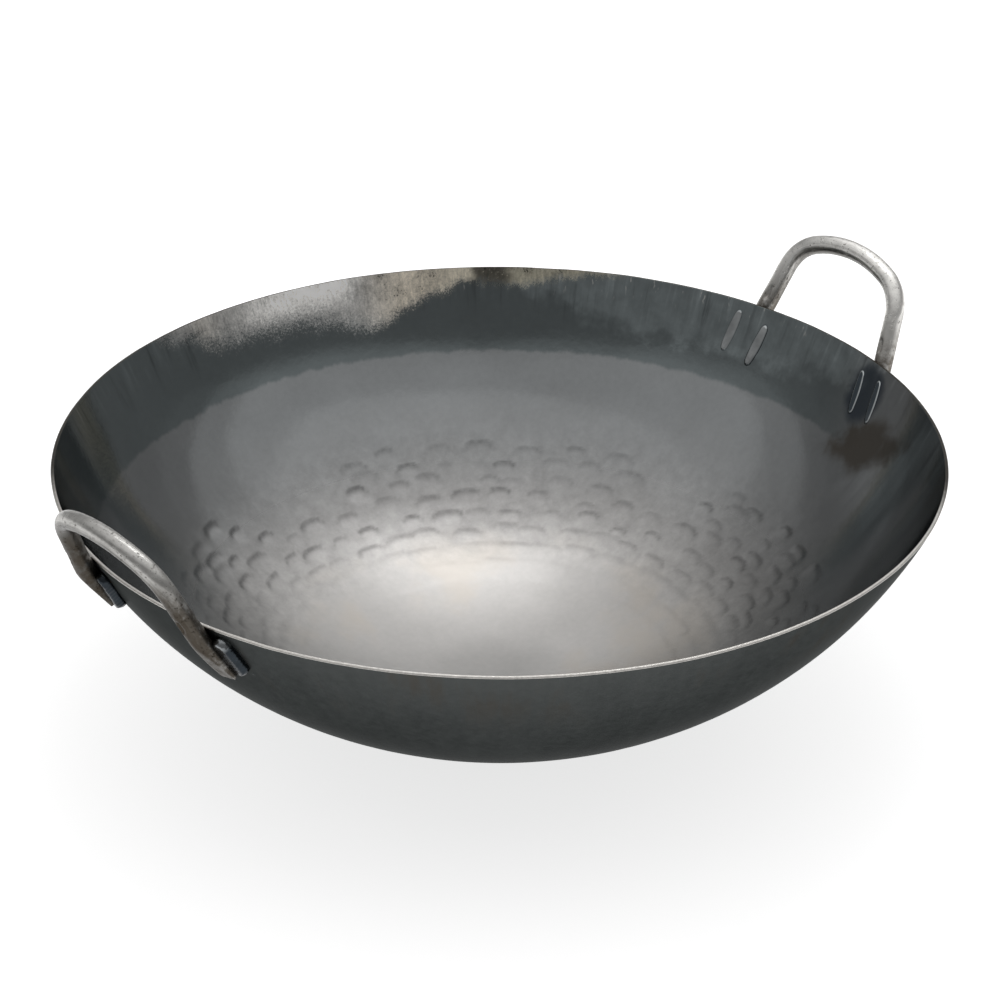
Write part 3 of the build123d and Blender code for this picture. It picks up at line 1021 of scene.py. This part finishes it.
def steel_inside(bowl, colours, ridge=False):
    """Bare steel that is pale in the middle and blued up the wall, with a brushed heat patch at the far rim."""
    material, maker = new_material("steel_ridge" if ridge else "steel_inside")
    point, r, azimuth, drop = wall_places(maker, bowl)
    mottle = maker.noise(point, 38.0, 4.0, 0.55)
    grain = maker.noise(point, 330.0, 3.0, 0.6)
    cloud = maker.noise(point, 12.0, 2.0)
    hammered, wall = tuple(colours.hammered), tuple(colours.wall)
    base = maker.ramp(r + mottle * 0.05, [
        (0.0, tuple(colours.bottom)), (0.48, tuple(colours.bottom)), (0.62, hammered),
        (0.75, tuple(0.25 * a + 0.75 * b for a, b in zip(hammered, wall))), (0.84, wall), (1.0, wall)])
    base = maker.scaled(base, 1 + mottle * 0.22 + grain * 0.16 + cloud * 0.22)
    warmth = maker.smooth(cloud + mottle * 0.8, 0.02, 0.22) * (1 - maker.smooth(r, 0.44, 0.56))
    base = maker.mixed(warmth * 0.55, base, warm_grey)

    # Painted shade along the steep edges of the hammer marks, partly darker scale there
    base = maker.scaled(base, 1 - maker.painted("crescent") * (0.27 + grain * 0.9))
    scuffs = maker.noise(point, 150.0, 4.0, 0.7)
    base = maker.scaled(base, 1 + scuffs * maker.window(r, 0.46, 0.76, 0.06) * 0.55)
    # Painted shade: the field of marks is darker on one side
    base = maker.scaled(base, 1 - maker.window(azimuth, -70.0, -6.0, 16.0) * maker.smooth(r, 0.46, 0.62) * 0.17)

    # Streaks that run down from the rim
    streak = maker.noise(maker.joined(azimuth * 0.55, drop * 0.012, 0.0), 1.0, 4.0, 0.62)
    fine_streak = maker.noise(maker.joined(azimuth * 1.7, drop * 0.035, 7.0), 1.0, 3.0, 0.6)
    blot = maker.noise(point, 85.0, 3.0, 0.6)
    near_rim = 1 - maker.smooth(drop + streak * 26, 3.0, 24.0)
    base = maker.scaled(base, 1 + maker.smooth(streak, 0.02, 0.22) * near_rim * 0.6
                        - maker.smooth(0 - streak, 0.04, 0.2) * near_rim * 0.45)

    base = far_wall(maker, base, r, azimuth, drop, streak, fine_streak, blot)
    patch, heated_steel = heat_patch(maker, point, azimuth, drop, fine_streak, blot, colours)
    base = maker.mixed(patch, base, heated_steel)
    base, stains = leg_stains(maker, base, bowl, colours, r, azimuth, drop, mottle, streak, blot)
    if ridge:
        base = ridge_paint(maker, base, azimuth, blot)
    rough = 0.33 - maker.smooth(r, 0.62, 0.84) * 0.22 + (grain + mottle) * 0.06 * maker.smooth(r, 0.86, 0.92)
    rough = rough + patch * 0.55 + stains * 0.08
    height = grain * 0.22 + mottle * 0.3 + blot * patch * 0.5
    shader = metal(maker, base, rough, height, 0.00010)
    maker.put(shader.inputs["Metallic"], 1 - patch * 0.5)
    return material


def steel_outside(bowl, colours):
    """Dark skin of the outside, with faint clouds and streaks and brown stains under the rim."""
    material, maker = new_material("steel_outside")
    point, _, azimuth, drop = wall_places(maker, bowl)
    cloud = maker.noise(point, 14.0, 3.0, 0.55)
    grain = maker.noise(point, 260.0, 4.0, 0.65)
    streak = maker.noise(maker.joined(azimuth * 0.4, drop * 0.02, 0.0), 1.0, 4.0, 0.6)
    tone = 0.95 + maker.smooth(drop, 15.0, 110.0) * 0.07 + cloud * 0.35 + grain * 0.35 + streak * 0.25
    base = maker.scaled(maker.plain(colours.outside), tone)
    stained = maker.smooth(cloud + streak * 0.8, 0.05, 0.30) * (1 - maker.smooth(drop, 4.0, 55.0))
    base = maker.mixed(stained * 0.5, base, outside_rust)
    rough = 0.44 + grain * 0.16 + cloud * 0.12
    height = grain * 0.5 + maker.noise(point, 80.0, 3.0) * 0.5
    metal(maker, base, rough, height, 0.00012, Specular_Tint=(0.30, 0.30, 0.30, 1.0))
    return material


def steel_cut(bowl, colours):
    """Cut edge of the rim, with a painted highlight on the side towards the camera, and brown with bright specks on
    the other.
    """
    material, maker = new_material("steel_cut")
    point, _, azimuth, _ = wall_places(maker, bowl)
    nick = maker.noise(maker.joined(azimuth * 0.8, 0.0, 0.0), 1.0, 5.0, 0.7)
    grain = maker.noise(point, 700.0, 2.0)
    # Painted highlight: the edge is bright on the side towards the camera, and worn bright in specks elsewhere
    to_highlight = maker.math("COSINE", (azimuth - highlight_azimuth) * degree)
    wear_and_highlight = maker.smooth(to_highlight + nick * 0.15, 0.08, 0.28)
    wear_and_highlight = maker.most(wear_and_highlight, maker.smooth(nick + grain * 0.6, 0.20, 0.30) * 0.8)
    base = maker.mixed(wear_and_highlight, dull_edge, tuple(colours.cut_edge))
    base = maker.scaled(base, 1 + grain * 0.5 + nick * 0.5)
    metal(maker, base, 0.36 + grain * 0.2, grain, 0.00010)
    return material


def steel_rod(bowl, colours):
    """Bright satin rod with fine pits and painted shade on its underside, brown and dark near the welds."""
    material, maker = new_material("steel_rod")
    point = maker.node("ShaderNodeTexCoord").outputs["Object"]
    x, _, z = maker.split(point)
    facing = maker.painted("facing_up")
    pits = maker.noise(point, 640.0, 3.0, 0.7)
    cloud = maker.noise(point, 60.0, 3.0, 0.6)
    brushed = maker.noise(point, 210.0, 4.0, 0.7)
    drawn = maker.noise(maker.joined(maker.painted("along") * 22.0, facing * 2.6, 0.0), 2.0, 4.0, 0.65)
    # Painted shade: the rod's colour is dark on its underside and bright on top
    upper = maker.smooth(facing + drawn * 0.7 + cloud * 0.4, -0.45, 0.35)
    base = maker.mixed(upper, rod_underside_shade, tuple(colours.rod))
    base = maker.scaled(base, 1.08 + cloud * 0.35 + brushed * 0.75 + drawn * 0.80)
    pitted = maker.smooth(pits + brushed * 0.4, 0.07, 0.20)
    base = maker.mixed(pitted * 0.60, base, rod_pits)
    # The legs are brown below the rim, and the left handle is darker than the right
    left = maker.smooth(0 - x, 0.0, 0.05)
    low = 1 - maker.smooth(z + cloud * 0.014 - left * 0.011, bowl.rim_z - 0.004, bowl.rim_z + 0.020)
    base = maker.mixed(low * maker.smooth(brushed + cloud, -0.36, 0.04) * 0.9, base, tuple(colours.stain))
    base = maker.scaled(base, 1.2 - left * 0.48)
    rough = 0.31 + brushed * 0.22 + pitted * 0.22 + low * 0.10 - drawn * 0.10
    height = brushed * 0.45 - pitted * 0.9 + drawn * 0.4
    metal(maker, base, rough, height, 0.00013)
    return material


def metal_weld(bowl, colours):
    """Blue-black weld metal with pale flecks, a painted highlight at its upper end, and a few orange spots."""
    material, maker = new_material("metal_weld")
    point, _, _, drop = wall_places(maker, bowl)
    crust = maker.noise(point, 420.0, 4.0, 0.65)
    cloud = maker.noise(point, 120.0, 2.0)
    base = maker.scaled(maker.plain(colours.weld), 1 + cloud * 0.9 + crust * 0.6)
    # Pale flecks, and a painted highlight on the bead's upper end
    bright = maker.smooth(crust + cloud * 0.7, 0.30, 0.38) * 0.6
    bright = maker.most(bright, (1 - maker.smooth(drop + cloud * 6, 4.4, 7.6)) * 0.7)
    base = maker.mixed(bright * 0.8, base, weld_flecks_and_highlight)
    spots = maker.smooth(maker.noise(maker.added(point, (1.7, 0.4, 0.9)), 170.0, 1.0), 0.24, 0.28)
    base = maker.mixed(spots * 0.9, base, weld_orange)
    metal(maker, base, 0.24 + crust * 0.20, crust * 0.6 + maker.noise(point, 1300.0, 2.0) * 0.3, 0.00015)
    return material


# Operators
sides = (("right", 1), ("left", -1))


def state():
    """The sizes and colours as they are set, and the bowl's shape for them."""
    scene = bpy.context.scene
    return scene.wok_bowl, scene.wok_handles, scene.wok_colours, BowlShape(scene.wok_bowl)


def shared(make, shape, colours):
    """The material that a function makes, which is made only once."""
    return bpy.data.materials.get(make.__name__) or make(shape, colours)


class WOK_OT_bowl(bpy.types.Operator):
    """Makes the hammered bowl"""

    bl_idname = "wok.make_bowl"
    bl_label = "Bowl"

    def execute(self, context):
        sizes, _, colours, shape = state()
        section = bowl_section(shape, sizes.rim_break)
        mesh = path_mesh("section", [(r, 0, z) for r, z, *_ in section],
                         outwards=[(out_r, 0, out_z) for _, _, out_r, out_z, _ in section],
                         inside=[row[-1] for row in section])
        piece = new_object("bowl_hammered", mesh)
        grow(piece, hammered_bowl_tree(shape), sizes, inside_steel=shared(steel_inside, shape, colours),
             outside_steel=shared(steel_outside, shape, colours), cut_steel=shared(steel_cut, shape, colours))
        finish_piece(piece, "bowl_steel", "bowl")
        return {"FINISHED"}


# Marks inside the wall: distance from the handle's middle line and below the rim, at the top and bottom end, in mm
right_marks = ((46.1, 5.1, 46.6, 24.5), (30.4, 7.1, 32.1, 28.8), (-33.7, 5.7, -37.1, 27.3), (-47.2, 6.0, -50.2, 25.4))


class WOK_OT_wall_marks(bpy.types.Operator):
    """Makes the marks that the welds press through the wall"""

    bl_idname = "wok.make_wall_marks"
    bl_label = "Wall marks"

    def execute(self, context):
        _, handles, colours, shape = state()
        steel = steel_inside(shape, colours, ridge=True)
        tree = pressed_mark_tree(shape)

        def on_wall(across, drop, side):
            slope = shape.rim_angle - drop * mm / shape.wall_radius
            r, z = shape.point(slope, -shape.sheet)
            y = across * mm
            x = sqrt(r * r - y * y)
            inwards = Vector((-sin(slope) * x / r, -sin(slope) * y / r, cos(slope)))
            turned = Vector((side, side, 1))
            return Vector((x, y, z)) * turned, inwards * turned

        for name, side in sides:
            middles, inwards, down = [], [], []
            for top_v, top_s, low_v, low_s in right_marks:
                top, _ = on_wall(top_v, top_s, side)
                low, _ = on_wall(low_v, low_s, side)
                middle, normal = on_wall((top_v + low_v) / 2, (top_s + low_s) / 2, side)
                middles.append(middle)
                inwards.append(normal)
                down.append((low - top).normalized())
            mesh = path_mesh("mark_points", middles, inwards=inwards, down=down)
            piece = new_object(f"wall_marks_{name}", mesh)
            grow(piece, tree, handles, steel=steel)
            finish_piece(piece, "bowl_steel")
        return {"FINISHED"}


# The pinched groove: its place above a leg's top end, and how far it reaches upwards and downwards
kink_rise, kink_above, kink_below = 0.0115, 0.0048, 0.0030


class WOK_OT_handles(bpy.types.Operator):
    """Makes both handles"""

    bl_idname = "wok.make_handles"
    bl_label = "Handles"

    def execute(self, context):
        _, handles, colours, shape = state()
        tree = bent_rod_tree()
        steel = shared(steel_rod, shape, colours)
        half = half_rod(shape, handles)
        from_end = [0.0]
        for a, b in zip(half, half[1:]):
            from_end.append(from_end[-1] + (b - a).length)
        rod_radius = handles.rod_diameter / 2
        leg_length = handles.leg_end_drop - handles.bend_drop
        kink_place = leg_length + kink_rise
        for name, side in sides:
            points, out, across, limit, widen, kink, swell, along = [], [], [], [], [], [], [], []
            for end in (-1, 1):
                leg = LegFrame(shape, handles, side, end)
                row = [p * leg.mirrored for p in half]
                order = range(len(row)) if end == -1 else range(len(row) - 2, -1, -1)
                for k in order:
                    s = from_end[k]
                    points.append(row[k])
                    along.append(s if end == -1 else 2 * from_end[-1] - s)
                    out.append(leg.off_wall)
                    across.append(leg.across)
                    cut = max(0.0, 1 - s / leg_length)
                    limit.append(rod_radius * 1.03 - handles.rod_diameter * handles.flattened * cut
                                 + max(0.0, s - leg_length))
                    widen.append(0.10 * smooth_step(cut, 0.0, 0.7))
                    gap = s - kink_place
                    kink.append(max(0.0, 1 - (gap / (kink_above if gap > 0 else kink_below)) ** 2))
                    swell.append(1 - max(0.0, handles.leg_break - s) / rod_radius)
            mesh = path_mesh("rod_path", points, axis=points, out=out, side=across, limit=limit, widen=widen,
                             kink=kink, swell=swell, along=along)
            piece = new_object(f"rod_handle_{name}", mesh)
            grow(piece, tree, handles, rod_radius=rod_radius, steel=steel)
            finish_piece(piece, "handle_steel", f"handle_{name}")
        return {"FINISHED"}


def smooth_step(value, low, high):
    share_up = min(max((value - low) / (high - low), 0.0), 1.0)
    return share_up * share_up * (3 - 2 * share_up)


# Steps along a bead, the length of its round ends and the share of its radius that is left at their tips
bead_steps, bead_end, bead_least = 56, 0.0045, 0.05


class WOK_OT_welds(bpy.types.Operator):
    """Makes the weld beads"""

    bl_idname = "wok.make_welds"
    bl_label = "Welds"

    def execute(self, context):
        _, handles, colours, shape = state()
        tree = weld_bead_tree(shape)
        weld_metal = shared(metal_weld, shape, colours)
        number = 0
        for side_name, side in sides:
            for leg_name, end in (("back", 1), ("front", -1)):
                for flank_name, flank in (("inner", -1), ("outer", 1)):
                    leg = LegFrame(shape, handles, side, end)
                    middle = handles.weld_drop + handles.weld_length / 2 - leg.middle_drop
                    rise = handles.bead_rise - leg.rod_radius - handles.wall_clearance
                    points, along, swell = [], [], []
                    for k in range(bead_steps + 1):
                        place = handles.weld_length * (k / bead_steps - 0.5)
                        to_end = handles.weld_length / 2 - abs(place)
                        bow = sqrt(1 - (1 - min(to_end / bead_end, 1)) ** 2)
                        points.append(leg.place(middle + place, flank * handles.bead_offset, rise))
                        along.append(place)
                        swell.append(bead_least + (1 - bead_least) * bow)
                    mesh = path_mesh("bead_path", points, axis=points, side=[leg.across] * len(points),
                                     out=[leg.off_wall] * len(points), along=along, swell=swell)
                    piece = new_object(f"weld_bead_{side_name}_{leg_name}_{flank_name}", mesh)
                    grow(piece, tree, handles, seed=handles.seed + number, weld_metal=weld_metal)
                    finish_piece(piece, "weld_metal", f"weld_{side_name}_{leg_name}_{flank_name}")
                    number += 1
        return {"FINISHED"}


# Corners of the patch of wall round a leg that catches drops, three by three
drops_from_rim = (0.010, 0.020, 0.032)
turns_from_leg = (-0.085, 0.0, 0.085)


class WOK_OT_spatter(bpy.types.Operator):
    """Makes the drops of weld metal round the legs"""

    bl_idname = "wok.make_spatter"
    bl_label = "Spatter"

    def execute(self, context):
        _, handles, colours, shape = state()
        tree = weld_spatter_tree()
        weld_metal = shared(metal_weld, shape, colours)
        for number, (name, side) in enumerate(sides):
            corners, faces = [], []
            for end in (1, -1):
                middle = asin(handles.leg_spacing / 2 / shape.rim_radius) * end
                for drop in drops_from_rim:
                    slope = shape.rim_angle - drop / shape.wall_radius
                    r, z = shape.point(slope, 0)
                    for turn in turns_from_leg:
                        corners.append((side * r * cos(middle + turn), r * sin(middle + turn), z))
                for k in (9, 8, 6, 5):
                    corner = len(corners) - k
                    quad = (corner, corner + 1, corner + 4, corner + 3)
                    faces.append(quad if side == 1 else quad[::-1])
            mesh = bpy.data.meshes.new("spatter_patch")
            mesh.from_pydata(corners, [], faces)
            piece = new_object(f"weld_spatter_{name}", mesh)
            grow(piece, tree, handles, seed=handles.seed + number, weld_metal=weld_metal)
            finish_piece(piece, "weld_metal")
        return {"FINISHED"}


# Name, place to the right of and behind the wok, turn in degrees, width, depth and radiance of each lamp
overhead_lamps = (
    ("panel_wide", 0.042, 1.053, 10.8, 6.572, 3.830, 0.045),
    ("panel_edge", 0.039, 0.553, 2.7, 4.856, 3.366, 0.190),
    ("panel_middle", 0.068, 0.038, 1.8, 3.796, 2.118, 0.170),
    ("panel_core", 0.145, 0.225, 0.0, 2.209, 1.707, 0.165),
    ("panel_far", 0.433, 1.837, 3.1, 2.405, 2.044, 0.539),
    ("key", 0.152, 0.559, 6.3, 1.000, 0.224, 3.720),
)


def overhead_lamp(name, middle, turn, width, depth, radiance):
    """A level oval lamp that shines down, with one radiance all over."""
    data = bpy.data.lights.new(name, "AREA")
    data.shape = "ELLIPSE"
    data.size = width
    data.size_y = depth
    data.energy = radiance * pi * (pi / 4 * width * depth)
    lamp = new_object(name, data)
    lamp.location = middle
    lamp.rotation_euler = (0, 0, turn)
    lamp.visible_camera = False


# Half the side of the floor, and how much lower each lamp hangs than the last
floor_half = 40.0
lamp_step = 0.01


def make_camera(stage, centre, turn):
    """A camera that looks at the middle of the rim, with the small turns that the photograph's frame needs."""
    height = stage.camera_height
    back = Vector((0, -cos(height), sin(height)))
    right, ahead = Vector((1, 0, 0)), -back
    upwards = right.cross(ahead)
    pan, tilt, roll = stage.camera_pan, stage.camera_tilt, stage.camera_roll
    panned = right * cos(pan) + ahead * sin(pan)
    looking = ahead * cos(pan) - right * sin(pan)
    tilted = upwards * cos(tilt) - looking * sin(tilt)
    forward = upwards * sin(tilt) + looking * cos(tilt)
    axes = (panned * cos(roll) - tilted * sin(roll), panned * sin(roll) + tilted * cos(roll), -forward)
    data = bpy.data.cameras.new("camera")
    data.sensor_width = 36.0
    data.lens = stage.lens
    data.clip_start, data.clip_end = 0.05, 100.0
    camera = new_object("camera", data)
    rotation = turn @ Matrix(axes).transposed()
    camera.matrix_world = Matrix.Translation(centre + turn @ (back * stage.camera_distance)) @ rotation.to_4x4()
    bpy.context.scene.camera = camera


def make_floor(stage, colours):
    """A pale floor that keeps the wok's shadow, and glows only where it is seen."""
    mesh = bpy.data.meshes.new("floor")
    mesh.from_pydata([(x * floor_half, y * floor_half, 0) for x, y in ((-1, -1), (1, -1), (1, 1), (-1, 1))], [],
                     [(0, 1, 2, 3)])
    floor = new_object("floor", mesh)
    material, maker = new_material("pale_floor")
    plain = maker.node("ShaderNodeBsdfDiffuse", {"Color": (*colours.floor, 1)})
    path = maker.node("ShaderNodeLightPath")
    seen = maker.least(maker.number(path, "Is Camera Ray") + maker.number(path, "Is Glossy Ray")
                       + maker.number(path, "Is Transmission Ray"), 1.0)
    glow = maker.node("ShaderNodeEmission", {"Color": (1, 1, 1, 1), "Strength": seen * stage.floor_glow})
    both = maker.node("ShaderNodeAddShader")
    maker.put(both.inputs[0], plain.outputs[0])
    maker.put(both.inputs[1], glow.outputs[0])
    output = maker.node("ShaderNodeOutputMaterial")
    maker.put(output.inputs["Surface"], both.outputs[0])
    mesh.materials.append(material)


class WOK_OT_stage(bpy.types.Operator):
    """Makes the floor, the lamps and the camera"""

    bl_idname = "wok.make_stage"
    bl_label = "Stage"

    def execute(self, context):
        _, _, colours, shape = state()
        stage = context.scene.wok_stage
        turn = Matrix.Rotation(stage.camera_turn, 3, "Z")
        centre = Vector((0, 0, shape.rim_z))

        make_camera(stage, centre, turn)
        make_floor(stage, colours)
        for number, (name, across, away, more_turn, width, depth, radiance) in enumerate(overhead_lamps):
            middle = centre + turn @ Vector((across, away, stage.lamp_height - number * lamp_step))
            overhead_lamp(name, middle, stage.camera_turn + radians(more_turn), width, depth,
                          radiance * stage.lamp_level)

        world = bpy.data.worlds.new("world")
        world.use_nodes = True
        background = world.node_tree.nodes["Background"]
        background.inputs["Color"].default_value = (1, 1, 1, 1)
        background.inputs["Strength"].default_value = stage.world_level
        context.scene.world = world
        context.scene.view_settings.view_transform = "Standard"
        return {"FINISHED"}


class WOK_PT_panel(bpy.types.Panel):
    """Lists the operators, in the order in which they run"""

    bl_idname = "WOK_PT_panel"
    bl_label = "Hammered wok"
    bl_space_type = "VIEW_3D"
    bl_region_type = "UI"
    bl_category = "Wok"

    def draw(self, context):
        for operator in operators:
            self.layout.operator(operator.bl_idname)


operators = (WOK_OT_bowl, WOK_OT_wall_marks, WOK_OT_handles, WOK_OT_welds, WOK_OT_spatter, WOK_OT_stage)
settings = {"wok_bowl": WokBowlSizes, "wok_handles": WokHandleSizes, "wok_colours": WokColours, "wok_stage": WokStage}


def register():
    for group in settings.values():
        bpy.utils.register_class(group)
    for operator in operators:
        bpy.utils.register_class(operator)
    bpy.utils.register_class(WOK_PT_panel)
    for name, group in settings.items():
        setattr(bpy.types.Scene, name, PointerProperty(type=group))


def unregister():
    for name in settings:
        delattr(bpy.types.Scene, name)
    bpy.utils.unregister_class(WOK_PT_panel)
    for group in (*operators, *settings.values()):
        bpy.utils.unregister_class(group)


def main():
    register()
    for operator in operators:
        group, name = operator.bl_idname.split(".")
        getattr(getattr(bpy.ops, group), name)()


if __name__ == "__main__":
    main()
